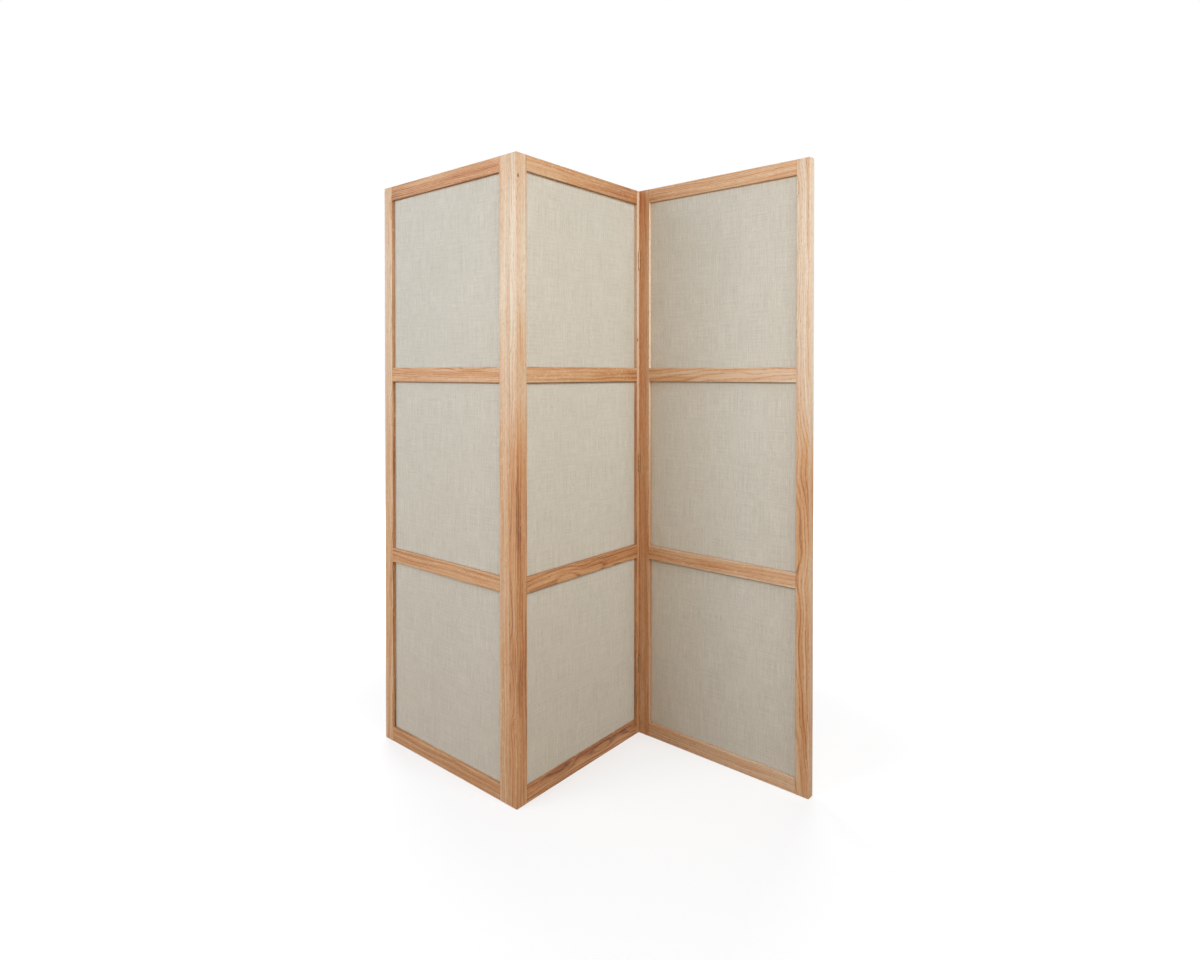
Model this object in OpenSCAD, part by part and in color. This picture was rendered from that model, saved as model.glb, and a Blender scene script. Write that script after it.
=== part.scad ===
// Folding screen of three framed panels, standing square-cornered in a zigzag.
// Each panel has two full-height stiles, four rails between them and three boards
// covered in linen, let into grooves. Butt hinges join the side panels to the middle one.
// Origin: on the floor, in the middle of the middle panel. +Z is up, and the middle
// panel runs along X with its front towards -Y.

/* [Screen] */
// Height of every panel
screen_h = 1800; // [1500:10:2100]
// Width of one panel
panel_w = 590; // [400:5:800]
// Thickness of the frames
frame_t = 28; // [24:0.5:40]

/* [Frames] */
// Width of a stile, seen from the front
stile_w = 40; // [34:1:70]
// Width of a rail, seen from the front
rail_w = 44; // [43:1:80]
// Radius of the eased long edges
arris_r = 1.2; // [0.5:0.1:3]
// Depth of the groove that holds the boards and the stub tenons
groove_d = 8; // [5:0.5:8]
// Gap between the end of a stub tenon and the bottom of its groove
tenon_play = 0.5; // [0.2:0.1:1]
// Glue line on each side of a stub tenon
glue_gap = 0.05; // [0:0.01:0.1]

/* [Covered boards] */
// Thickness of a board
board_t = 5; // [3:0.5:8]
// Thickness of the linen wrapped over a board
linen_t = 0.5; // [0.3:0.1:0.8]
// Gap between the linen and each side of the groove
groove_play = 0.1; // [0.05:0.05:0.3]
// Room for a board to move in the grooves at each side and at the top
board_play = 1; // [0.5:0.1:2]

/* [Dowels] */
// Diameter of a dowel
dowel_d = 8; // [6:0.5:8]
// Length of a dowel, half in the rail and half in the stile
dowel_l = 40; // [24:1:44]
// Distance between the two dowels of a joint, centre to centre
dowel_pitch = 18; // [12:0.5:18]
// Glue line round a dowel
dowel_fit = 0.05; // [0.02:0.01:0.1]
// Gap beyond each end of a dowel
dowel_end_play = 0.5; // [0.2:0.1:1]

/* [Hinges] */
// Height of a hinge
hinge_h = 60; // [50:1:90]
// Distance from the end of a panel to the centre of its first or last hinge
hinge_inset = 230; // [100:5:400]
// Thickness of a leaf
leaf_t = 1.2; // [1:0.1:1.6]
// Width of a leaf from the pin's axis
leaf_w = 19; // [16:0.5:21]
// Outer diameter of the knuckles
knuckle_d = 5; // [4.6:0.1:6]
// Gap between two knuckles along the pin
knuckle_play = 0.2; // [0.1:0.05:0.5]
// Diameter of the pin
pin_d = 2.6; // [2:0.1:2.8]
// Running clearance round the pin
pin_clear = 0.05; // [0.02:0.01:0.08]
// Diameter of the pin's head
pin_head_d = 4; // [3.4:0.1:4.4]
// Height of the pin's head, and how far its tail stands out below
pin_end = 1; // [0.5:0.1:2]
// Clearance between the knuckles and the wood they turn past
corner_gap = 0.3; // [0.3:0.05:0.8]
// Gap between a side panel's edge and the middle panel's face
joint_gap = 0.5; // [0.4:0.1:1]
// Clearance round a leaf in its recess
recess_play = 0.3; // [0.2:0.05:0.6]

/* [Screws] */
// Diameter of a screw's shank
screw_d = 2.8; // [2.4:0.1:3]
// Diameter of a screw's countersunk head
screw_head_d = 5.2; // [4.4:0.1:6]
// Length of a screw
screw_l = 12; // [9:0.5:14]
// Distance between screws along a leaf
screw_pitch = 20; // [12:0.5:21]
// Sideways stagger of the screws
screw_stagger = 2; // [0:0.5:3]
// Clearance round a screw in its hole
screw_fit = 0.03; // [0.02:0.01:0.06]
// Width of the slot in a screw's head
slot_w = 0.8; // [0.5:0.1:1]
// Depth of the slot in a screw's head
slot_d = 0.6; // [0.3:0.1:0.8]

/* [Hidden] */
PANELS = ["left", "middle", "right"];
RAILS = ["bottom", "lower", "upper", "top"];
PANES = ["bottom", "centre", "top"];
HINGE_PARTS = ["fixed_leaves", "swing_leaves", "pins", "fixed_screws", "swing_screws"];
NODES = [
    "left_outer_stile", "left_hinge_stile", "middle_left_stile", "middle_right_stile",
    "right_hinge_stile", "right_outer_stile",
    for (p = PANELS) each [
        for (r = RAILS) str(p, "_", r, "_rail"),
        for (n = PANES) str(p, "_", n, "_board"),
        for (n = PANES) str(p, "_", n, "_linen"),
        str(p, "_dowels")
    ],
    for (s = ["left", "right"]) for (h = HINGE_PARTS) str(s, "_hinge_", h)
];
node = "all";

// Places in one panel
opening_w = panel_w - 2 * stile_w;
pane_h = (screen_h - len(RAILS) * rail_w) / len(PANES);
rail_step = rail_w + pane_h;
groove_w = board_t + 2 * linen_t + 2 * groove_play;
tenon_t = groove_w - 2 * glue_gap;
board_w = opening_w + 2 * (groove_d - board_play);
board_h = pane_h + 2 * groove_d - board_play - linen_t;
dowel_heights = [for (i = [0:len(RAILS) - 1]) for (s = [-1, 1])
    i * rail_step + rail_w / 2 + s * dowel_pitch / 2];

// Places round a hinge, measured from the pin's axis
knuckle_r = knuckle_d / 2;
axis_off = knuckle_r + corner_gap;
leaf_notch = knuckle_r + recess_play;
recess_w = leaf_w - axis_off + recess_play;
recess_d = axis_off + knuckle_r - joint_gap;
knuckles = 5;
knuckle_h = hinge_h / knuckles;
screw_x = -(leaf_w + leaf_notch) / 2;
screw_head_h = (screw_head_d - screw_d) / 2;
screw_tip_h = 3;
screw_tip_d = 0.6;
hinge_heights = [hinge_inset, screen_h / 2, screen_h - hinge_inset];

// How far a cut runs past the face that it opens
cut = 1;
$fn = 32;

// Bar along Z with four eased long edges
module eased_bar(w, t, len) {
    linear_extrude(len) {
        square([w - 2 * arris_r, t], center = true);
        square([w, t - 2 * arris_r], center = true);
        for (x = [-1, 1], y = [-1, 1])
            translate([x * (w / 2 - arris_r), y * (t / 2 - arris_r)])
                circle(arris_r);
    }
}

// Moves a panel drawn about its own centre, front towards -Y, to its place at rest
module in_panel(p) {
    side = p == "left" ? -1 : p == "right" ? 1 : 0;
    translate([side * (panel_w - frame_t) / 2, -side * (frame_t / 2 + joint_gap + panel_w / 2), 0])
        rotate([0, 0, side == 0 ? 0 : -90])
            children();
}

// Puts children on the axis of each of one joint's hinges. The right joint is the left
// one turned half round, with the same faces meeting.
module at_hinges(side) {
    for (z = hinge_heights)
        rotate([0, 0, side == "left" ? 0 : 180])
            translate([-panel_w / 2 + frame_t + axis_off, frame_t / 2 + axis_off, z])
                children();
}

// Puts children at the screws of a fixed leaf, or of a swing leaf, heads up
module at_screws(leaf) {
    for (i = [-1:1])
        translate([screw_x + (i == 0 ? 1 : -1) * screw_stagger, 0, i * screw_pitch])
            if (leaf == "fixed")
                translate([0, leaf_t - axis_off, 0]) rotate([-90, 0, 0]) children();
            else
                translate([0, knuckle_r - leaf_t, 0]) rotate([90, 0, 0]) children();
}

// Dowels, or the holes for them, through both ends of every rail
module dowel_rods(d, len) {
    for (z = dowel_heights, x = [-1, 1])
        translate([x * opening_w / 2, 0, z])
            rotate([0, 90, 0])
                cylinder(h = len, d = d, center = true);
}

module dowel_holes() {
    dowel_rods(dowel_d + 2 * dowel_fit, dowel_l + 2 * dowel_end_play);
}

// One stile, end -1 at the panel's left and 1 at its right, grooved on its inner edge
module stile(end) {
    color([0.80, 0.64, 0.47])
        difference() {
            translate([end * (panel_w - stile_w) / 2, 0, 0])
                eased_bar(stile_w, frame_t, screen_h);
            translate([end * opening_w / 2 - groove_d, -groove_w / 2, -cut])
                cube([2 * groove_d, groove_w, screen_h + 2 * cut]);
            dowel_holes();
        }
}

// Recess for both leaves in a side panel's edge, and the holes of the swing leaf's screws
module swing_leaf_cut() {
    translate([-axis_off - recess_w, knuckle_r - recess_d - cut, -hinge_h / 2 - recess_play])
        cube([recess_w + cut, recess_d + cut, hinge_h + 2 * recess_play]);
    at_screws("swing") screw_hole();
}

module hinge_stile(p, end) {
    difference() {
        in_panel(p) stile(end);
        color([0.80, 0.64, 0.47]) at_hinges(p) swing_leaf_cut();
    }
}

// A stile of the middle panel, with the screw holes of the hinges on its face
module middle_stile(side, end) {
    difference() {
        stile(end);
        color([0.80, 0.64, 0.47]) at_hinges(side) at_screws("fixed") screw_hole();
    }
}

// Rail number i from the floor, with a stub tenon at each end. Its grooves run through
// the tenons, because the boards reach into the stiles there.
module rail(i) {
    color([0.78, 0.61, 0.44])
        difference() {
            translate([0, 0, i * rail_step + rail_w / 2]) {
                translate([-opening_w / 2, 0, 0])
                    rotate([0, 90, 0])
                        eased_bar(rail_w, frame_t, opening_w);
                cube([opening_w + 2 * (groove_d - tenon_play), tenon_t, rail_w], center = true);
            }
            if (i < len(PANES))
                groove_along(i * rail_step + rail_w - groove_d, groove_d + cut);
            if (i > 0)
                groove_along(i * rail_step - cut, groove_d + cut);
            dowel_holes();
        }
}

module groove_along(z, h) {
    translate([-panel_w / 2, -groove_w / 2, z])
        cube([panel_w, groove_w, h]);
}

// Height at which pane number i's board stands, on the bottom of its rail's groove
function board_z(i) = i * rail_step + rail_w - groove_d;

module board(i) {
    color([0.72, 0.60, 0.45])
        translate([-board_w / 2, -board_t / 2, board_z(i)])
            cube([board_w, board_t, board_h]);
}

// One cloth, up the front of its board, over the top edge and down the back
module linen(i) {
    color([0.80, 0.77, 0.69])
        difference() {
            translate([-board_w / 2, -board_t / 2 - linen_t, board_z(i)])
                cube([board_w, board_t + 2 * linen_t, board_h + linen_t]);
            translate([-board_w / 2 - cut, -board_t / 2, board_z(i) - cut])
                cube([board_w + 2 * cut, board_t, board_h + cut]);
        }
}

module dowels() {
    color([0.86, 0.74, 0.56]) dowel_rods(dowel_d, dowel_l);
}

// Tongues and rolled knuckles of a leaf: even ones are the fixed leaf's, odd ones the
// swing leaf's
module knuckle_row(first, leaf_y) {
    for (i = [first:2:knuckles - 1])
        translate([0, 0, (i - knuckles / 2) * knuckle_h + knuckle_play / 2]) {
            cylinder(h = knuckle_h - knuckle_play, r = knuckle_r);
            translate([-leaf_notch, leaf_y, 0])
                cube([leaf_notch, leaf_t, knuckle_h - knuckle_play]);
        }
}

// A leaf lying towards -X, with its lower face at leaf_y
module leaf(first, leaf_y, kind) {
    color([0.70, 0.55, 0.33])
        difference() {
            union() {
                knuckle_row(first, leaf_y);
                translate([-leaf_w, leaf_y, -hinge_h / 2])
                    cube([leaf_w - leaf_notch, leaf_t, hinge_h]);
            }
            cylinder(h = hinge_h + 2 * cut, d = pin_d + 2 * pin_clear, center = true);
            at_screws(kind) screw_hole();
        }
}

// Pin with a chamfered head on the top knuckle and a tail below the bottom one
module pin() {
    top = (hinge_h - knuckle_play) / 2;
    color([0.74, 0.60, 0.38]) {
        translate([0, 0, -top - pin_end])
            cylinder(h = 2 * top + pin_end, d = pin_d);
        translate([0, 0, top])
            cylinder(h = pin_end / 2, d = pin_head_d);
        translate([0, 0, top + pin_end / 2])
            cylinder(h = pin_end / 2, d1 = pin_head_d, d2 = pin_head_d - pin_end);
    }
}

// Countersunk wood screw, its head's top at the origin and its point towards -Z
module screw_body(extra) {
    translate([0, 0, -screw_head_h])
        cylinder(h = screw_head_h, d1 = screw_d + 2 * extra, d2 = screw_head_d + 2 * extra);
    translate([0, 0, -screw_l + screw_tip_h])
        cylinder(h = screw_l - screw_tip_h - screw_head_h, d = screw_d + 2 * extra);
}

module screw() {
    color([0.74, 0.60, 0.38])
        difference() {
            union() {
                screw_body(0);
                translate([0, 0, -screw_l])
                    cylinder(h = screw_tip_h, d1 = screw_tip_d, d2 = screw_d);
            }
            translate([0, 0, cut / 2 - slot_d / 2])
                cube([screw_head_d + cut, slot_w, slot_d + cut], center = true);
        }
}

// Room for a screw: its countersink, opened upwards, and a straight pilot hole
module screw_hole() {
    screw_body(screw_fit);
    cylinder(h = cut, d = screw_head_d + 2 * screw_fit);
    translate([0, 0, -screw_l - screw_fit])
        cylinder(h = screw_l - screw_head_h, d = screw_d + 2 * screw_fit);
}

function shown(name) = node == "all" || node == name;

if (shown("left_outer_stile")) in_panel("left") stile(-1);
if (shown("left_hinge_stile")) hinge_stile("left", 1);
if (shown("middle_left_stile")) middle_stile("left", -1);
if (shown("middle_right_stile")) middle_stile("right", 1);
if (shown("right_hinge_stile")) hinge_stile("right", -1);
if (shown("right_outer_stile")) in_panel("right") stile(1);
for (p = PANELS) {
    for (i = [0:len(RAILS) - 1])
        if (shown(str(p, "_", RAILS[i], "_rail"))) in_panel(p) rail(i);
    for (i = [0:len(PANES) - 1]) {
        if (shown(str(p, "_", PANES[i], "_board"))) in_panel(p) board(i);
        if (shown(str(p, "_", PANES[i], "_linen"))) in_panel(p) linen(i);
    }
    if (shown(str(p, "_dowels"))) in_panel(p) dowels();
}
for (s = ["left", "right"]) {
    if (shown(str(s, "_hinge_fixed_leaves"))) at_hinges(s) leaf(0, -axis_off, "fixed");
    if (shown(str(s, "_hinge_swing_leaves"))) at_hinges(s) leaf(1, knuckle_r - leaf_t, "swing");
    if (shown(str(s, "_hinge_pins"))) at_hinges(s) pin();
    if (shown(str(s, "_hinge_fixed_screws"))) at_hinges(s) at_screws("fixed") screw();
    if (shown(str(s, "_hinge_swing_screws"))) at_hinges(s) at_screws("swing") screw();
}
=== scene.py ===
import math
import random

import bmesh
import bpy
from mathutils import Matrix, Vector, noise


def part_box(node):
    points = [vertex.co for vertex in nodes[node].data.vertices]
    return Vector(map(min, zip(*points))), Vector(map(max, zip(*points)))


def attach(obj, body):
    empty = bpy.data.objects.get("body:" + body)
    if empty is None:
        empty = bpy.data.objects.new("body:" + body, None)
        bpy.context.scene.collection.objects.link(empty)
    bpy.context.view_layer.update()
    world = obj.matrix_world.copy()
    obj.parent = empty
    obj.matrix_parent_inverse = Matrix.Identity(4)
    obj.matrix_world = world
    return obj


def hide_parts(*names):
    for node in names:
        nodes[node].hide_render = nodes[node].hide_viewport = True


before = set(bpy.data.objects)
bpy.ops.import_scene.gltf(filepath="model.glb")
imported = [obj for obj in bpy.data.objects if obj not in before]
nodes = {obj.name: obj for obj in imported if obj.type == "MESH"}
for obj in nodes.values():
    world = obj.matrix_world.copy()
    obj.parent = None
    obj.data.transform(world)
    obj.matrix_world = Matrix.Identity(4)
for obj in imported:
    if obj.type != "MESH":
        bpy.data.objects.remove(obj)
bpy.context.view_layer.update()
mm = 0.001
print("frame loaded:", len(nodes), "nodes")


# A new object in the scene, at the origin
def putInScene(name, data):
    made = bpy.data.objects.new(name, data)
    bpy.context.scene.collection.objects.link(made)
    return made


# Camera at the photo's place: eye height, in front of the ridge and to its left
photoView = dict(
    place=(-1.6616, -1.4362, 1.1936),
    heading=-49.82,          # degrees from +Y, turned to the right
    pitch=-0.57,
    lens=21.6,
    sensor=36,
    shift=(0.007, -0.082),
)
camera = putInScene("camera", bpy.data.cameras.new("camera"))
camera.location = photoView["place"]
camera.rotation_euler = (math.radians(90 + photoView["pitch"]), 0, math.radians(photoView["heading"]))
camera.data.lens = photoView["lens"]
camera.data.sensor_width = photoView["sensor"]
camera.data.shift_x, camera.data.shift_y = photoView["shift"]
camera.data.clip_start = 0.01
bpy.context.scene.camera = camera
print("camera placed")


# sRGB hex to the linear colour that a socket takes
def tone(text):
    parts = [int(text[i:i + 2], 16) / 255 for i in (1, 3, 5)]
    return [p / 12.92 if p <= 0.04045 else ((p + 0.055) / 1.055) ** 2.4 for p in parts] + [1]


# Feeds a node's inputs, by name or number, with a value, a socket, or the first live
# output of another node
def feed(tree, target, links):
    for key, source in links.items():
        if isinstance(source, bpy.types.Node):
            source = next(o for o in source.outputs if o.enabled)
        if isinstance(source, bpy.types.NodeSocket):
            tree.links.new(source, target.inputs[key])
        else:
            target.inputs[key].default_value = source


# Adds one shader node with its settings and links
def add(tree, kind, links=None, **settings):
    made = tree.nodes.new("ShaderNode" + kind)
    for key, value in settings.items():
        setattr(made, key, value)
    feed(tree, made, links or {})
    return made


# A start value plus each source times its share
def total(tree, start, shares):
    for source, share in shares:
        start = add(tree, "Math", {0: source, 1: share, 2: start}, operation="MULTIPLY_ADD")
    return start


# A new material with its shader, ready for links
def startMaterial(name):
    material = bpy.data.materials.new(name)
    material.use_nodes = True
    tree = material.node_tree
    return material, tree, tree.nodes["Principled BSDF"]


# Oak frames
# Solid European oak, planed, sanded and oiled. Pale honey wood with soft darker
# streaks along the grain, open pores as fine dashes, and a satin surface.
# Waves are noise waves per metre, the last number of three along the grain.
oakLook = dict(
    ramp=[(0.0, "#d7c8b3"), (0.15, "#cdbca4"), (0.36, "#ccb093"), (0.575, "#c59b70"),
          (0.76, "#b68154"), (1.0, "#774a2d")],
    logReach=9,              # metres up or down the log, so that no two pieces share a pattern
    logTilt=0.012,           # radians
    sway=15 * mm,            # how far the whole grain leans to and fro on its way up
    swayWaves=(10, 10, 5),
    ringWidth=3.4 * mm,
    ringDrift=26 * mm,       # how far the rings wander along a board
    driftWaves=(9, 9, 1.1),
    springWood=(0.12, 0.5),  # the part of a ring over which its open spring wood ends
    springDark=0.16,
    summerPale=0.05,
    yearWaves=0.3,           # noise waves per ring: some years grew darker than others
    streakWidth=4.5 * mm,
    streakWaves=4.5,
    bandWidth=15 * mm,
    bandWaves=1.0,
    cloudWaves=4,
    shares=dict(year=0.8, streak=0.8, band=0.6, cloud=0.35),     # of the figure, in light and dark
    stileFigure=0.8,         # strength of the figure; the rails are calmer stuff than the stiles
    railFigure=0.78,
    fadeFrom=-50 * mm,       # painted light: stiles turn paler from here upwards, standing in for the light from above on their upper part
    fadeTo=500 * mm,
    paintedTopShadeReach=260 * mm,    # painted shade: their top ends turn browner over this length, where less light reaches them
    paintedTopShadeDark=0.2,
    endDark=0.22,            # end grain drinks more oil than the faces do
    endTurn=(0.7, 0.95),     # cosines between which a face comes to count as end grain
    faceTurn=(0.3, 0.9),     # and as one of the long faces that are named below
    wearWidth=2.4 * mm,      # paler rubbed wood along the eased edges
    wearWaves=28,
    stileWear=0.22,
    railWear=0.08,
    flush="#f6e0ce",         # tint of the redder streaks
    flushShift=(7, 3, 0),    # moves them off the darker bands
    flushFrom=0.46,
    flushOver=0.24,
    paintedHighlightTint="#efdcc4",       # painted highlight: a pale tint on the named faces, where they catch the light
    paintedHighlightFrom=-100 * mm,       # it comes in from here upwards
    paintedHighlightTo=400 * mm,
    ray="#e2c9a4",
    rayWaves=(110, 60, 55),  # per radian round the heart, then per metre outwards and along
    rayCut=(0.6, 0.7),
    rayShow=0.35,
    pore="#5f3e26",
    poreWidth=0.45 * mm,     # real ones are under 0.3 mm, too fine to show
    poreLength=16 * mm,
    poreCut=(0.58, 0.68),
    poreShow=(0.2, 0.75),    # in summer wood and in spring wood
    knot="#4f3220",
    knotCore=(1.4 * mm, 3.2 * mm),
    knotReach=12 * mm,       # the rings bend round a knot this far out
    knotBend=7 * mm,
    knotSquash=0.45,         # a knot is longer along the grain
    roughness=0.5,
    poreRough=0.25,
    streakRough=0.1,
    wornSmooth=0.12,
    relief=0.12 * mm,
    springSunk=0.25,
    bump=0.7,
)

# What differs from piece to piece: where the log's heart lay (angle, distance in mm), its
# tone on the ramp, how much paler a stile turns upwards (painted light), how much browner a
# rail turns towards +X or +Y (painted shade), any long face painted paler or browner by how
# the light falls on it, any face with a painted highlight in its upper part, how
# much redder it is, and any pin knots and dark flames (mm from the piece's centre, then a
# knot's strength, or a flame's half length, half width and strength)
oakCuts = {
    "left_outer_stile": dict(heart=(20, 95), tone=0.42, fade=0.10, face=((0, -1, 0), 0.24)),
    "left_hinge_stile": dict(heart=(70, 120), tone=0.33, fade=0.15),
    "middle_left_stile": dict(heart=(200, 85), tone=0.39, fade=0.32, face=((-1, 0, 0), -0.04),
                              knots=[(-13, -14, 836, 1), (-20, -2, -669, 0.4)],
                              flames=[(-14, -14, -85, 222, 10, 0.27), (-9, -14, -200, 222, 10, 0.27),
                                      (-2, -14, 385, 200, 32, 0.65), (-6, -14, -560, 150, 32, 0.36)]),
    "middle_right_stile": dict(heart=(250, 70), tone=0.41, fade=0.20, face=((-1, 0, 0), 0.13),
                               paintedHighlight=((0, -1, 0), 0.45), knots=[(-16, -14, 408, 1)]),
    "right_hinge_stile": dict(heart=(120, 80), tone=0.55, fade=0.03, face=((0, -1, 0), -0.27),
                              paintedHighlight=((0, -1, 0), 0.85), blush=0.14),
    "right_outer_stile": dict(heart=(340, 130), tone=0.37, fade=0.26, face=((0, -1, 0), -0.1),
                              paintedHighlight=((0, -1, 0), 0.6), blush=-0.04),
    "left_bottom_rail": dict(heart=(40, 80), tone=0.65, tilt=0.07),
    "left_lower_rail": dict(heart=(310, 75), tone=0.65, tilt=0.05),
    "left_upper_rail": dict(heart=(150, 95), tone=0.61, tilt=0.04),
    "left_top_rail": dict(heart=(230, 85), tone=0.74, tilt=0.07),
    "middle_bottom_rail": dict(heart=(80, 110), tone=0.83, tilt=0.06),
    "middle_lower_rail": dict(heart=(255, 80), tone=0.73),
    "middle_upper_rail": dict(heart=(15, 65), tone=0.61, tilt=0.07),
    "middle_top_rail": dict(heart=(185, 100), tone=0.63, tilt=0.13, blush=-0.11),
    "right_bottom_rail": dict(heart=(330, 85), tone=0.34, blush=0.1),
    "right_lower_rail": dict(heart=(60, 75), tone=0.52, tilt=0.09, blush=0.06),
    "right_upper_rail": dict(heart=(200, 110), tone=0.51, tilt=0.12),
    "right_top_rail": dict(heart=(120, 95), tone=0.66, tilt=0.08, blush=-0.15),
}


# How far each point is from a spot in the piece (in mm), counted short along the grain
def distanceFrom(tree, place, spot, alongShare):
    offset = add(tree, "VectorMath", {0: place, 1: [x * mm for x in spot]}, operation="SUBTRACT")
    squeezed = add(tree, "VectorMath", {0: offset, 1: (1, 1, alongShare)}, operation="MULTIPLY")
    return add(tree, "VectorMath", {0: squeezed}, operation="LENGTH")


# A value on the faces that look one way, and 0 on the others
def onFace(tree, where, direction, value):
    toward = add(tree, "VectorMath", {0: where.outputs["Normal"], 1: direction}, operation="DOT_PRODUCT")
    return add(tree, "MapRange", {"Value": toward, "From Min": oakLook["faceTurn"][0],
                                  "From Max": oakLook["faceTurn"][1], "To Max": value})


def oakMaterial(name, grain, cut, rng):
    material, tree, shader = startMaterial("oiled_oak_" + name)
    isStile = "fade" in cut
    low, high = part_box(name)
    centre, half = (low + high) / 2, (high - low) / 2

    # the piece is turned so that its grain runs along Z, then moved to its place in the log
    turn = {0: (0, -math.pi / 2, 0), 1: (math.pi / 2, 0, 0), 2: (0, 0, 0)}[grain]
    turned = Matrix.Rotation(turn[1], 3, "Y") @ Matrix.Rotation(turn[0], 3, "X")
    half = Vector(abs(x) for x in turned @ half)
    angle, away = math.radians(cut["heart"][0]), cut["heart"][1] * mm
    reach, tilt = oakLook["logReach"], oakLook["logTilt"]
    heart = (math.cos(angle) * away, math.sin(angle) * away, rng.uniform(-reach, reach))
    where = add(tree, "TexCoord")
    place = add(tree, "Mapping", {"Vector": where.outputs["Object"], "Rotation": turn,
                                  "Location": -(turned @ centre)})
    log = add(tree, "Mapping", {"Vector": place, "Location": heart,
                                "Rotation": (rng.uniform(-tilt, tilt), rng.uniform(-tilt, tilt), 0)})
    bends = add(tree, "VectorMath", {0: log, 1: oakLook["swayWaves"]}, operation="MULTIPLY")
    lean = add(tree, "TexNoise", {"Vector": bends, "Scale": 1, "Detail": 1})
    lean = add(tree, "VectorMath", {0: lean.outputs["Color"], 1: (0.5, 0.5, 0.5)}, operation="SUBTRACT")
    log = add(tree, "VectorMath", {0: lean, 1: (oakLook["sway"], oakLook["sway"], 0), 2: log},
              operation="MULTIPLY_ADD")
    across, deep, along = add(tree, "SeparateXYZ", {0: place}).outputs
    logAcross, logDeep, logAlong = add(tree, "SeparateXYZ", {0: log}).outputs

    # year rings round the heart, wandering along the board and swelling round knots
    flat = add(tree, "VectorMath", {0: log, 1: (1, 1, 0)}, operation="MULTIPLY")
    radius = add(tree, "VectorMath", {0: flat}, operation="LENGTH")
    slow = add(tree, "VectorMath", {0: log, 1: oakLook["driftWaves"]}, operation="MULTIPLY")
    drift = add(tree, "TexNoise", {"Vector": slow, "Scale": 1, "Detail": 2, "Roughness": 0.45})
    ringAt = add(tree, "Math", {0: drift, 1: oakLook["ringDrift"], 2: radius}, operation="MULTIPLY_ADD")
    knotMask = None
    for x, y, z, strength in cut.get("knots", []):
        distance = distanceFrom(tree, place, (x, y, z), oakLook["knotSquash"])
        swirl = add(tree, "MapRange", {"Value": distance, "From Max": oakLook["knotReach"],
                                       "To Min": oakLook["knotBend"], "To Max": 0},
                    interpolation_type="SMOOTHERSTEP")
        ringAt = add(tree, "Math", {0: ringAt, 1: swirl}, operation="ADD")
        core = add(tree, "MapRange", {"Value": distance, "From Min": oakLook["knotCore"][0],
                                      "From Max": oakLook["knotCore"][1],
                                      "To Min": strength, "To Max": 0}, interpolation_type="SMOOTHSTEP")
        knotMask = add(tree, "Math", {0: core, 1: knotMask or 0}, operation="MAXIMUM")
    phase = add(tree, "Math", {0: ringAt, 1: oakLook["ringWidth"]}, operation="DIVIDE")
    ring = add(tree, "Math", {0: phase}, operation="FRACT")
    spring = add(tree, "MapRange", {"Value": ring, "From Min": oakLook["springWood"][0],
                                    "From Max": oakLook["springWood"][1], "To Min": 1, "To Max": 0},
                 interpolation_type="SMOOTHSTEP")
    years = add(tree, "Math", {0: phase, 1: oakLook["yearWaves"]}, operation="MULTIPLY")
    figure = {}
    figure["year"] = add(tree, "TexNoise", {"W": years, "Scale": 1, "Detail": 1}, noise_dimensions="1D")

    # fibres: soft streaks and broader bands, drawn out along the grain
    streakWaves = (1 / oakLook["streakWidth"],) * 2 + (oakLook["streakWaves"],)
    bandWaves = (1 / oakLook["bandWidth"],) * 2 + (oakLook["bandWaves"],)
    fine = add(tree, "VectorMath", {0: log, 1: streakWaves}, operation="MULTIPLY")
    broad = add(tree, "VectorMath", {0: log, 1: bandWaves}, operation="MULTIPLY")
    streak = add(tree, "TexNoise", {"Vector": fine, "Scale": 1, "Detail": 3, "Roughness": 0.55})
    figure["streak"] = streak
    figure["band"] = add(tree, "TexNoise", {"Vector": broad, "Scale": 1, "Detail": 2})
    figure["cloud"] = add(tree, "TexNoise", {"Vector": log, "Scale": oakLook["cloudWaves"], "Detail": 1})

    # how dark each point is: all that adds to it, with its share
    shades = [(spring, oakLook["springDark"])]
    strength = oakLook["stileFigure" if isStile else "railFigure"]
    for key, pattern in figure.items():
        swing = add(tree, "Math", {0: pattern, 1: 0.5}, operation="SUBTRACT")
        shades.append((swing, oakLook["shares"][key] * strength))
    if isStile:
        # painted light: a stile turns paler upwards, towards the light from above
        crown = add(tree, "MapRange", {"Value": along, "From Min": oakLook["fadeFrom"],
                                       "From Max": oakLook["fadeTo"],
                                       "To Min": cut["fade"], "To Max": -cut["fade"]},
                    interpolation_type="SMOOTHSTEP")
        # painted shade: the top end of a stile turns browner
        paintedTopShade = add(tree, "MapRange", {"Value": along, "From Min": half.z - oakLook["paintedTopShadeReach"],
                                        "From Max": half.z, "To Max": oakLook["paintedTopShadeDark"]},
                     interpolation_type="SMOOTHSTEP")
        shades += [(crown, 1), (paintedTopShade, 1)]
    if "tilt" in cut:
        # painted shade: a rail turns browner towards its +X or +Y end, which on the middle and right panels
        # is the shaded valley
        paintedRailShade = add(tree, "MapRange", {"Value": along, "From Min": -half.z, "From Max": half.z,
                                       "To Min": -cut["tilt"], "To Max": cut["tilt"]})
        shades.append((paintedRailShade, 1))
    if "face" in cut:
        # painted light and shade: a long face painted paler or browner by how the light falls on it
        shades.append((onFace(tree, where, *cut["face"]), 1))
    for x, y, z, halfLength, halfWidth, depth in cut.get("flames", []):
        distance = distanceFrom(tree, place, (x, y, z), halfWidth / halfLength)
        flame = add(tree, "MapRange", {"Value": distance, "From Max": halfWidth * mm, "To Min": depth,
                                       "To Max": 0}, interpolation_type="SMOOTHSTEP")
        shades.append((flame, streak))

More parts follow.
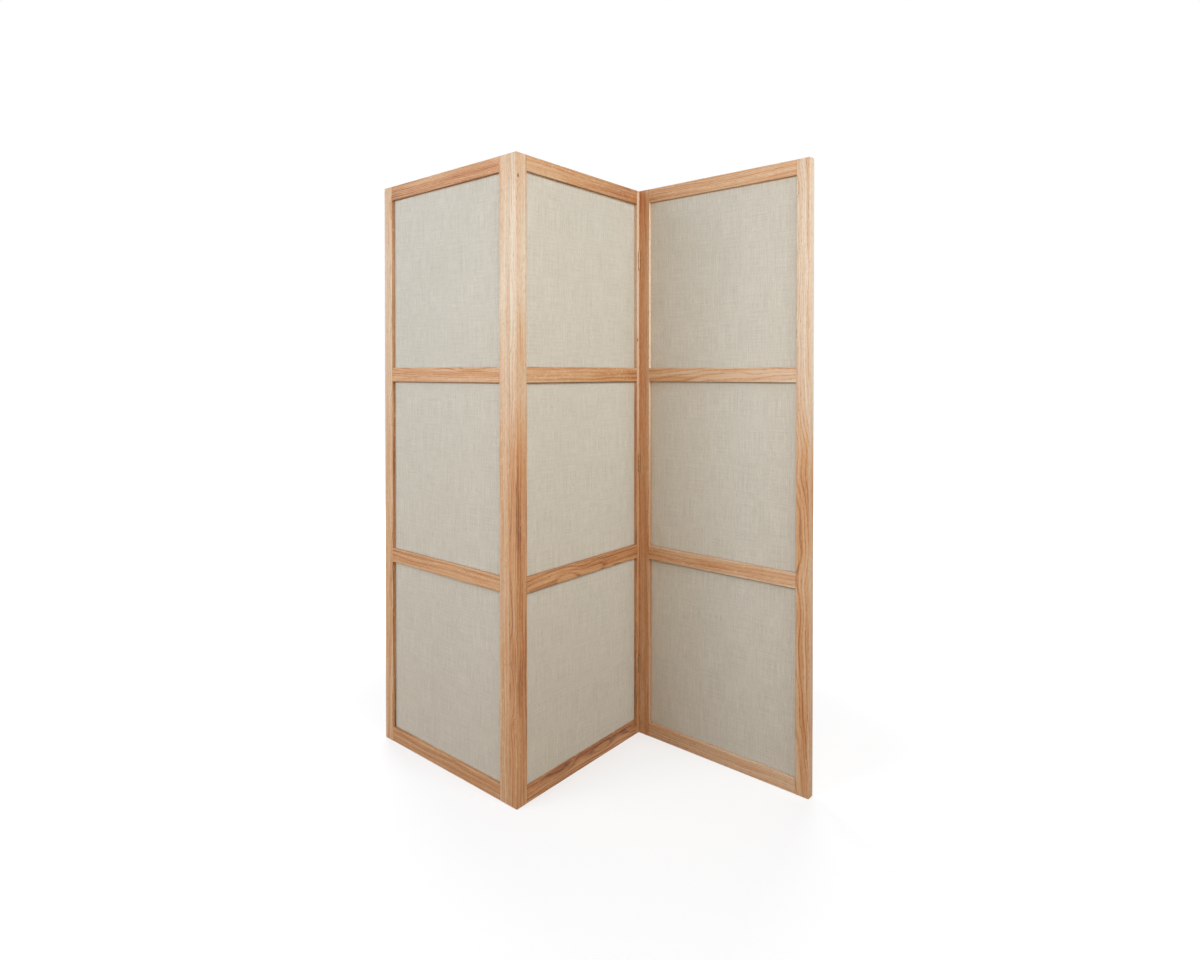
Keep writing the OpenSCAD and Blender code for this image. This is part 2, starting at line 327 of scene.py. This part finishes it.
    # end grain, on the faces that look along the grain either way
    axis = [1.0 if i == grain else 0.0 for i in range(3)]
    facing = add(tree, "VectorMath", {0: where.outputs["Normal"], 1: axis}, operation="DOT_PRODUCT")
    facing = add(tree, "Math", {0: facing}, operation="ABSOLUTE")
    endOn = add(tree, "MapRange", {"Value": facing, "From Min": oakLook["endTurn"][0],
                                   "From Max": oakLook["endTurn"][1]})
    shades.append((endOn, oakLook["endDark"]))

    # rubbed, paler wood where a point is close to two long faces at once
    insets = []
    for reading, limit in ((across, half.x), (deep, half.y)):
        fromMiddle = add(tree, "Math", {0: reading}, operation="ABSOLUTE")
        insets.append(add(tree, "Math", {0: limit, 1: fromMiddle}, operation="SUBTRACT"))
    fromEdge = add(tree, "Math", {0: insets[0], 1: insets[1]}, operation="ADD")
    rubbed = add(tree, "MapRange", {"Value": fromEdge, "From Max": oakLook["wearWidth"],
                                    "To Min": 1, "To Max": 0}, interpolation_type="SMOOTHSTEP")
    rubs = add(tree, "TexNoise", {"Vector": log, "Scale": oakLook["wearWaves"], "Detail": 2})
    worn = add(tree, "Math", {0: rubbed, 1: rubs}, operation="MULTIPLY")
    shades.append((worn, -oakLook["stileWear" if isStile else "railWear"]))

    dark = total(tree, cut["tone"] - oakLook["summerPale"], shades)
    ramp = add(tree, "ValToRGB", {"Fac": dark})
    stops = ramp.color_ramp.elements
    for i, (spot, colour) in enumerate(oakLook["ramp"]):
        stop = stops[i] if i < 2 else stops.new(spot)      # a new ramp has two stops already
        stop.position, stop.color = spot, tone(colour)

    # some streaks are redder than the rest, and some faces get a painted highlight in their upper part
    elsewhere = add(tree, "VectorMath", {0: broad, 1: oakLook["flushShift"]}, operation="ADD")
    blush = add(tree, "TexNoise", {"Vector": elsewhere, "Scale": 1, "Detail": 2})
    blushFrom = oakLook["flushFrom"] - cut.get("blush", 0)
    redder = add(tree, "MapRange", {"Value": blush, "From Min": blushFrom,
                                    "From Max": blushFrom + oakLook["flushOver"]})
    wood = add(tree, "Mix", {0: redder, 6: ramp, 7: tone(oakLook["flush"])}, data_type="RGBA",
               blend_type="MULTIPLY")
    # painted highlight: a pale tint on the upper part of a face that catches the light
    if "paintedHighlight" in cut:
        upper = add(tree, "MapRange", {"Value": along, "From Min": oakLook["paintedHighlightFrom"],
                                       "From Max": oakLook["paintedHighlightTo"]}, interpolation_type="SMOOTHSTEP")
        paintedHighlight = add(tree, "Math", {0: onFace(tree, where, *cut["paintedHighlight"]), 1: upper}, operation="MULTIPLY")
        wood = add(tree, "Mix", {0: paintedHighlight, 6: wood, 7: tone(oakLook["paintedHighlightTint"])}, data_type="RGBA")

    # medullary rays: thin sheets that point at the heart, so they fleck the radial faces
    around = add(tree, "Math", {0: logDeep, 1: logAcross}, operation="ARCTAN2")
    rayPlace = add(tree, "CombineXYZ", {0: around, 1: radius, 2: logAlong})
    rayPlace = add(tree, "VectorMath", {0: rayPlace, 1: oakLook["rayWaves"]}, operation="MULTIPLY")
    rayNoise = add(tree, "TexNoise", {"Vector": rayPlace, "Scale": 1, "Detail": 1})
    rayMask = add(tree, "MapRange", {"Value": rayNoise, "From Min": oakLook["rayCut"][0],
                                     "From Max": oakLook["rayCut"][1], "To Max": oakLook["rayShow"]})
    wood = add(tree, "Mix", {0: rayMask, 6: wood, 7: tone(oakLook["ray"])}, data_type="RGBA")

    # pores, mostly in the spring wood
    poreWaves = (1 / oakLook["poreWidth"],) * 2 + (1 / oakLook["poreLength"],)
    thin = add(tree, "VectorMath", {0: log, 1: poreWaves}, operation="MULTIPLY")
    poreNoise = add(tree, "TexNoise", {"Vector": thin, "Scale": 1, "Detail": 0})
    poreCut = add(tree, "MapRange", {"Value": poreNoise, "From Min": oakLook["poreCut"][0],
                                     "From Max": oakLook["poreCut"][1]})
    poreShare = add(tree, "MapRange", {"Value": spring, "To Min": oakLook["poreShow"][0],
                                       "To Max": oakLook["poreShow"][1]})
    pores = add(tree, "Math", {0: poreCut, 1: poreShare}, operation="MULTIPLY")
    wood = add(tree, "Mix", {0: pores, 6: wood, 7: tone(oakLook["pore"])}, data_type="RGBA")
    if knotMask:
        wood = add(tree, "Mix", {0: knotMask, 6: wood, 7: tone(oakLook["knot"])}, data_type="RGBA")

    rough = total(tree, oakLook["roughness"], [(pores, oakLook["poreRough"]),
                                               (worn, -oakLook["wornSmooth"]),
                                               (streak, oakLook["streakRough"])])
    height = total(tree, streak, [(pores, -1), (spring, -oakLook["springSunk"])])
    bump = add(tree, "Bump", {"Height": height, "Distance": oakLook["relief"],
                              "Strength": oakLook["bump"]})
    feed(tree, shader, {"Base Color": wood, "Roughness": rough, "Normal": bump})
    return material


rng = random.Random(11)
for name, cut in oakCuts.items():
    if name.endswith("_stile"):
        grain = 2            # along Z
    elif name.startswith("middle"):
        grain = 0            # along X
    else:
        grain = 1            # along Y
    wood = oakMaterial(name, grain, cut, rng)
    for slot in nodes[name].material_slots:
        slot.material = wood
print("oak frames finished")

# Linen
# Undyed furnishing linen, plain weave, pulled over a board. Dry matt cloth whose
# uneven threads read as fine upright streaks, with slubs both ways.
linenLook = dict(
    thread="#cfcdc3",
    # the darker flax of slubs and mottling, and the painted shade in the thread gaps
    shade="#9f9b8a",
    fleck="#8a7f6a",
    fleckCut=(0.72, 0.82),
    fleckShow=0.5,
    pitch=0.9 * mm,          # thread spacing both ways
    wander=0.3 * mm,
    waves=dict(              # noise waves per metre, across the warp and along it
        warpWander=(900, 24, 0),
        weftWander=(24, 900, 0),
        warpSlub=(330, 9, 0),        # slubs are drawn two or three threads wide, or they
        weftSlub=(11, 420, 0),       # wouldn't show from where the photo was taken
        warpFine=(1100, 40, 0),
        mottle=(22, 16, 0),
        cloud=(4, 3, 0),
        fleck=(900, 260, 0),
    ),
    shares=dict(warpSlub=0.53, weftSlub=0.44, warpFine=0.45, mottle=0.12, cloud=0.08),
    paintedGapShade=0.56,           # painted shade: the tone in the gaps between threads, and what a thread's crown adds to it
    threadLight=0.34,
    underShare=0.6,          # how high a thread still stands where it dips under another
    roughness=0.9,
    specular=0.25,
    sheen=0.12,
    sheenRoughness=0.5,
    relief=0.16 * mm,
    slubLift=0.8,            # how far a slub stands out beside the weave
    bump=0.6,
    thickness=0.5 * mm,
    foldRadius=1.5 * mm,
    foldSegments=4,
    cuts=(39, 41),           # in the mesh, across a pane and up it
    crown=0.5 * mm,          # lift of the cloth in the middle of a pane
    ripple=0.2 * mm,
    rippleWaves=(14, 4),
    rippleShift=(7.3, 5.1),  # from cloth to cloth, and from front to back
    groove=9 * mm,           # cloth hidden in the frame's grooves
    easing=70 * mm,          # the crown fades out over this width
    firstCut=(0.13, 0.21),   # where on the bolt the first cloth is cut, and the step to the next
    nextCut=(0.61, 1.37),
)


def linenMaterial():
    material, tree, shader = startMaterial("undyed_plain_weave_linen")
    # the cloth's own map is in metres, across the warp and along it
    where = add(tree, "UVMap", uv_map="cloth")
    drawn = {}
    for key, waves in linenLook["waves"].items():
        spread = add(tree, "VectorMath", {0: where, 1: waves}, operation="MULTIPLY")
        detail = 2 if waves[0] < 500 else 0      # the finest patterns need none
        drawn[key] = add(tree, "TexNoise", {"Vector": spread, "Scale": 1, "Detail": detail},
                         noise_dimensions="2D")
    across, along = add(tree, "SeparateXYZ", {0: where}).outputs[:2]

    # each thread wanders a little, and has a round back
    whole, rounds = [], []
    for reading, wander in ((across, drawn["warpWander"]), (along, drawn["weftWander"])):
        moved = add(tree, "Math", {0: wander, 1: linenLook["wander"], 2: reading},
                    operation="MULTIPLY_ADD")
        counted = add(tree, "Math", {0: moved, 1: linenLook["pitch"]}, operation="DIVIDE")
        whole.append(add(tree, "Math", {0: counted}, operation="FLOOR"))
        turned = add(tree, "Math", {0: counted, 1: math.pi}, operation="MULTIPLY")
        arch = add(tree, "Math", {0: turned}, operation="SINE")
        rounds.append(add(tree, "Math", {0: arch}, operation="ABSOLUTE"))

    # the two sets of threads take turns on top
    both = add(tree, "Math", {0: whole[0], 1: whole[1]}, operation="ADD")
    warpUp = add(tree, "Math", {0: both, 1: 2}, operation="MODULO")
    warpUp = add(tree, "Math", {0: warpUp}, operation="ABSOLUTE")
    heights = []
    for top, under in (rounds, rounds[::-1]):
        lift = add(tree, "Math", {0: under, 1: 1 - linenLook["underShare"], 2: linenLook["underShare"]},
                   operation="MULTIPLY_ADD")
        heights.append(add(tree, "Math", {0: top, 1: lift}, operation="MULTIPLY"))
    weave = add(tree, "Mix", {0: warpUp, 2: heights[1], 3: heights[0]})

    # light and dark: painted shade in the thread gaps, slubs, and slow mottling of the flax
    lights = [(weave, linenLook["threadLight"])]
    for key, share in linenLook["shares"].items():
        swing = add(tree, "Math", {0: drawn[key], 1: 0.5}, operation="SUBTRACT")
        lights.append((swing, share))
    light = total(tree, linenLook["paintedGapShade"], lights)
    cloth = add(tree, "Mix", {0: light, 6: tone(linenLook["shade"]), 7: tone(linenLook["thread"])},
                data_type="RGBA")
    flecks = add(tree, "MapRange", {"Value": drawn["fleck"], "From Min": linenLook["fleckCut"][0],
                                    "From Max": linenLook["fleckCut"][1],
                                    "To Max": linenLook["fleckShow"]})
    cloth = add(tree, "Mix", {0: flecks, 6: cloth, 7: tone(linenLook["fleck"])}, data_type="RGBA")
    height = add(tree, "Math", {0: drawn["warpSlub"], 1: linenLook["slubLift"], 2: weave},
                 operation="MULTIPLY_ADD")
    bump = add(tree, "Bump", {"Height": height, "Distance": linenLook["relief"],
                              "Strength": linenLook["bump"]})
    feed(tree, shader, {"Base Color": cloth, "Normal": bump, "Roughness": linenLook["roughness"],
                        "Specular IOR Level": linenLook["specular"], "Sheen Weight": linenLook["sheen"],
                        "Sheen Roughness": linenLook["sheenRoughness"]})
    return material


# How far an edge runs along an axis
def run(edge, axis):
    return abs(edge.verts[0].co[axis] - edge.verts[1].co[axis])


# One cloth: up the front of its board, over the top edge and down the back
def linenCloth(pane, material, order):
    low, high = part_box(pane + "_linen")
    size = high - low
    wide, deep = max(size.x, size.y), min(size.x, size.y) - linenLook["thickness"]
    tall = size.z - linenLook["thickness"] / 2
    shape = bmesh.new()
    profile = [(-deep / 2, 0), (-deep / 2, tall), (deep / 2, tall), (deep / 2, 0)]
    corners = [shape.verts.new((-wide / 2, y, z)) for y, z in profile]
    edges = [shape.edges.new(pair) for pair in zip(corners, corners[1:])]
    drawnOut = bmesh.ops.extrude_edge_only(shape, edges=edges)["geom"]
    bmesh.ops.translate(shape, verts=[v for v in drawnOut if isinstance(v, bmesh.types.BMVert)],
                        vec=(wide, 0, 0))
    folds = [e for e in shape.edges if run(e, 0) > mm and all(v.co.z > tall - mm for v in e.verts)]
    bmesh.ops.bevel(shape, geom=folds, offset=linenLook["foldRadius"], affect="EDGES",
                    segments=linenLook["foldSegments"], profile=0.5, material=-1)
    level = [e for e in shape.edges if run(e, 0) > mm]
    bmesh.ops.subdivide_edges(shape, edges=level, cuts=linenLook["cuts"][0], use_grid_fill=True)
    upright = [e for e in shape.edges if run(e, 2) > tall / 2]
    bmesh.ops.subdivide_edges(shape, edges=upright, cuts=linenLook["cuts"][1], use_grid_fill=True)
    bmesh.ops.recalc_face_normals(shape, faces=shape.faces)

    # the operators leave the faces in an order that varies from run to run, so they are put in order
    for index, face in enumerate(sorted(shape.faces, key=lambda f: f.calc_center_median()[:])):
        face.index = index
    shape.faces.sort()

    # the map follows the cloth from its front hem to its back one, each from another stretch of the bolt
    layer = shape.loops.layers.uv.new("cloth")
    u, v = [first + step * order for first, step in zip(linenLook["firstCut"], linenLook["nextCut"])]
    for face in shape.faces:
        face.smooth = True
        for corner in face.loops:
            x, y, z = corner.vert.co
            fromHem = z if y < 0 else 2 * tall + deep - z
            if z > tall - linenLook["foldRadius"] / 2:
                fromHem = tall + y + deep / 2
            corner[layer].uv = (u + x, v + fromHem)

    # a slight crown and ripple, fading out before the frame
    wavesAcross, wavesUp = linenLook["rippleWaves"]
    clothShift, sideShift = linenLook["rippleShift"]
    for vert in shape.verts:
        x, y, z = vert.co
        inside = min(wide / 2 - abs(x), z, tall - z) - linenLook["groove"]
        fade = max(0, min(1, inside / linenLook["easing"]))
        fade = fade * fade * (3 - 2 * fade)      # eases in and out
        side = 1 if y > 0 else -1
        wave = noise.noise((x * wavesAcross + order * clothShift, side * sideShift, z * wavesUp))
        vert.co.y += side * fade * (linenLook["crown"] + linenLook["ripple"] * wave)

    # drawn along X, front towards -Y; the side panels' fronts look towards -X
    if size.y > size.x:
        bmesh.ops.rotate(shape, verts=shape.verts, cent=(0, 0, 0),
                         matrix=Matrix.Rotation(-math.pi / 2, 3, "Z"))
    middle = (low + high) / 2
    bmesh.ops.translate(shape, verts=shape.verts, vec=(middle.x, middle.y, low.z))
    mesh = bpy.data.meshes.new(pane + "_cloth")
    shape.to_mesh(mesh)
    shape.free()
    mesh.materials.append(material)
    cloth = putInScene(pane + "_cloth", mesh)
    thick = cloth.modifiers.new("cloth thickness", "SOLIDIFY")
    thick.thickness, thick.offset = linenLook["thickness"], 0
    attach(cloth, pane.split("_")[0] + "_panel")
    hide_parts(pane + "_linen")


linen = linenMaterial()
panes = [f"{panel}_{height}" for panel in ("left", "middle", "right")
         for height in ("bottom", "centre", "top")]
for order, pane in enumerate(panes):
    linenCloth(pane, linen, order)
print("linen stretched over", len(panes), "boards")

# What the frames hold inside
# Beech dowels, cut from rod: pale, close grain with short darker flecks.
beechLook = dict(
    wood="#d9b98c",
    fleck="#b98f60",
    fleckCut=(0.3, 0.75),
    waves=(90, 90, 900),     # per metre
    roughness=0.65,
    relief=0.1 * mm,
    bump=0.5,
)
beech, tree, shader = startMaterial("raw_beech_dowel")
where = add(tree, "TexCoord")
stretched = add(tree, "VectorMath", {0: where.outputs["Object"], 1: beechLook["waves"]},
                operation="MULTIPLY")
fibre = add(tree, "TexNoise", {"Vector": stretched, "Scale": 1, "Detail": 3})
fleck = add(tree, "MapRange", {"Value": fibre, "From Min": beechLook["fleckCut"][0],
                               "From Max": beechLook["fleckCut"][1]})
colour = add(tree, "Mix", {0: fleck, 6: tone(beechLook["wood"]), 7: tone(beechLook["fleck"])},
             data_type="RGBA")
bump = add(tree, "Bump", {"Height": fibre, "Distance": beechLook["relief"],
                          "Strength": beechLook["bump"]})
feed(tree, shader, {"Base Color": colour, "Normal": bump, "Roughness": beechLook["roughness"]})

# Fibreboard, pressed and sanded: even light brown with a fine felt of fibres.
boardLook = dict(
    gap="#8f7150",
    fibre="#c9ab82",
    waves=700,
    roughness=0.8,
    relief=0.08 * mm,
    bump=0.4,
)
fibreboard, tree, shader = startMaterial("sanded_fibreboard")
where = add(tree, "TexCoord")
felt = add(tree, "TexNoise", {"Vector": where.outputs["Object"], "Scale": boardLook["waves"],
                              "Detail": 4, "Distortion": 1.5})
colour = add(tree, "Mix", {0: felt, 6: tone(boardLook["gap"]), 7: tone(boardLook["fibre"])},
             data_type="RGBA")
bump = add(tree, "Bump", {"Height": felt, "Distance": boardLook["relief"],
                          "Strength": boardLook["bump"]})
feed(tree, shader, {"Base Color": colour, "Normal": bump, "Roughness": boardLook["roughness"]})

# Brass, bronzed and gone dull: a quiet brown beside the oak, brighter where it rubs.
brassLook = dict(
    rubbed="#ba9571",
    tarnish="#8a684c",
    tarnishWaves=160,
    tarnishCut=(0.35, 0.7),
    roughness=(0.38, 0.55),  # where it is rubbed and where it is tarnished
    brushWaves=(2500, 2500, 180),
    relief=0.03 * mm,
    bump=0.4,
)
brass, tree, shader = startMaterial("bronzed_satin_brass")
where = add(tree, "TexCoord")
cloudy = add(tree, "TexNoise", {"Vector": where.outputs["Object"], "Scale": brassLook["tarnishWaves"],
                                "Detail": 4})
tarnish = add(tree, "MapRange", {"Value": cloudy, "From Min": brassLook["tarnishCut"][0],
                                 "From Max": brassLook["tarnishCut"][1]})
colour = add(tree, "Mix", {0: tarnish, 6: tone(brassLook["rubbed"]), 7: tone(brassLook["tarnish"])},
             data_type="RGBA")
rough = add(tree, "MapRange", {"Value": tarnish, "To Min": brassLook["roughness"][0],
                               "To Max": brassLook["roughness"][1]})
brushed = add(tree, "VectorMath", {0: where.outputs["Object"], 1: brassLook["brushWaves"]},
              operation="MULTIPLY")
lines = add(tree, "TexNoise", {"Vector": brushed, "Scale": 1, "Detail": 1})
bump = add(tree, "Bump", {"Height": lines, "Distance": brassLook["relief"],
                          "Strength": brassLook["bump"]})
feed(tree, shader, {"Base Color": colour, "Metallic": 1, "Roughness": rough, "Normal": bump})

# by the last word of a piece's name
finishes = dict(dowels=beech, board=fibreboard, leaves=brass, pins=brass, screws=brass)
for name, piece in nodes.items():
    finish = finishes.get(name.split("_")[-1])
    for slot in piece.material_slots:
        slot.material = finish or slot.material
print("dowels, boards and hinges finished")

# Floor, world and lamps
studio = dict(
    world=0.05,
    worldTint="#f6f8fb",
    floorHalf=9,
    floorDrop=0.2 * mm,
    floorTint="#a57c48",     # what the floor throws back at the screen
    floorShadow=0.4,         # share of the floor's white that comes from light, so can be in shadow
    floorGlow=(0.57, 1.0),   # the rest of it, near the screen and far off
    floorReach=(0.9, 2.0),
    lamps=dict(
        window=dict(place=(-3.8, 1.2, 2.5), aim=(0, 0, 0.9), size=(2, 1.4), watts=95, tint="#d7eeff"),
        front=dict(place=(-0.3, -3.9, 3.2), aim=(0, 0, 0.9), size=(2, 2), watts=121, tint="#f2fbff"),
        near=dict(place=(-1.5, -1.5, 1.9), aim=(-0.1, -0.1, 1.2), size=(1.4, 1.2), watts=30, tint="#ffede2"),
        side=dict(place=(-3.0, 2.6, 1.7), aim=(0, 0, 0.9), size=(2, 1.4), watts=41, tint="#fff0e6"),
        behind=dict(place=(1.6, 3.6, 2.6), aim=(0, 0.2, 0.9), size=(2.4, 2), watts=115, tint="#ffffff"),
        right=dict(place=(3.8, 0.9, 2.0), aim=(0.3, -0.1, 0.9), size=(2, 1.6), watts=80, tint="#ffffff"),
    ),
)
ground = bmesh.new()
bmesh.ops.create_grid(ground, x_segments=1, y_segments=1, size=studio["floorHalf"])
bmesh.ops.translate(ground, verts=ground.verts, vec=(0, 0, -studio["floorDrop"]))
floorMesh = bpy.data.meshes.new("floor")
ground.to_mesh(floorMesh)
ground.free()
floor = putInScene("floor", floorMesh)


# 1 for the rays by which the camera, gloss and glass see a surface, 0 for the light it throws back
def seenDirectly(tree):
    path = add(tree, "LightPath").outputs
    seen = add(tree, "Math", {0: path["Is Camera Ray"], 1: path["Is Glossy Ray"]}, operation="MAXIMUM")
    return add(tree, "Math", {0: seen, 1: path["Is Transmission Ray"]}, operation="MAXIMUM")


# Plain matt floor: white to the eye but for the screen's faint shadow, warm in what it throws back
paleFloor = bpy.data.materials.new("pale_floor")
paleFloor.use_nodes = True
tree = paleFloor.node_tree
tree.nodes.remove(tree.nodes["Principled BSDF"])
shadowed = add(tree, "BsdfDiffuse", {"Color": (studio["floorShadow"],) * 3 + (1,)})
away = add(tree, "VectorMath", {0: add(tree, "TexCoord").outputs["Object"]}, operation="LENGTH")
glow = add(tree, "MapRange", {"Value": away, "From Min": studio["floorReach"][0],
                              "From Max": studio["floorReach"][1], "To Min": studio["floorGlow"][0],
                              "To Max": studio["floorGlow"][1]}, interpolation_type="SMOOTHSTEP")
glowing = add(tree, "Emission", {"Color": (1, 1, 1, 1), "Strength": glow})
white = add(tree, "AddShader", {0: shadowed, 1: glowing})
warm = add(tree, "BsdfDiffuse", {"Color": tone(studio["floorTint"])})
mixed = add(tree, "MixShader", {0: seenDirectly(tree), 1: warm, 2: white})
feed(tree, tree.nodes["Material Output"], {"Surface": mixed})
floorMesh.materials.append(paleFloor)

world = bpy.data.worlds.new("studio")
bpy.context.scene.world = world
world.use_nodes = True
tree = world.node_tree
ambient = add(tree, "Background", {"Color": tone(studio["worldTint"]), "Strength": studio["world"]})
backdrop = add(tree, "Background", {"Color": (1, 1, 1, 1), "Strength": 1})
mixed = add(tree, "MixShader", {0: seenDirectly(tree), 1: ambient, 2: backdrop})
feed(tree, tree.nodes["World Output"], {"Surface": mixed})

for name, lamp in studio["lamps"].items():
    light = bpy.data.lights.new(name, "AREA")
    light.shape = "RECTANGLE"
    light.size, light.size_y = lamp["size"]
    light.energy = lamp["watts"]
    light.color = tone(lamp["tint"])[:3]
    holder = putInScene(name, light)
    holder.location = lamp["place"]
    aim = Vector(lamp["aim"]) - Vector(lamp["place"])
    holder.rotation_euler = aim.to_track_quat("-Z", "Y").to_euler()
    holder.visible_camera = False
bpy.context.scene.view_settings.view_transform = "Standard"
print("studio lit")
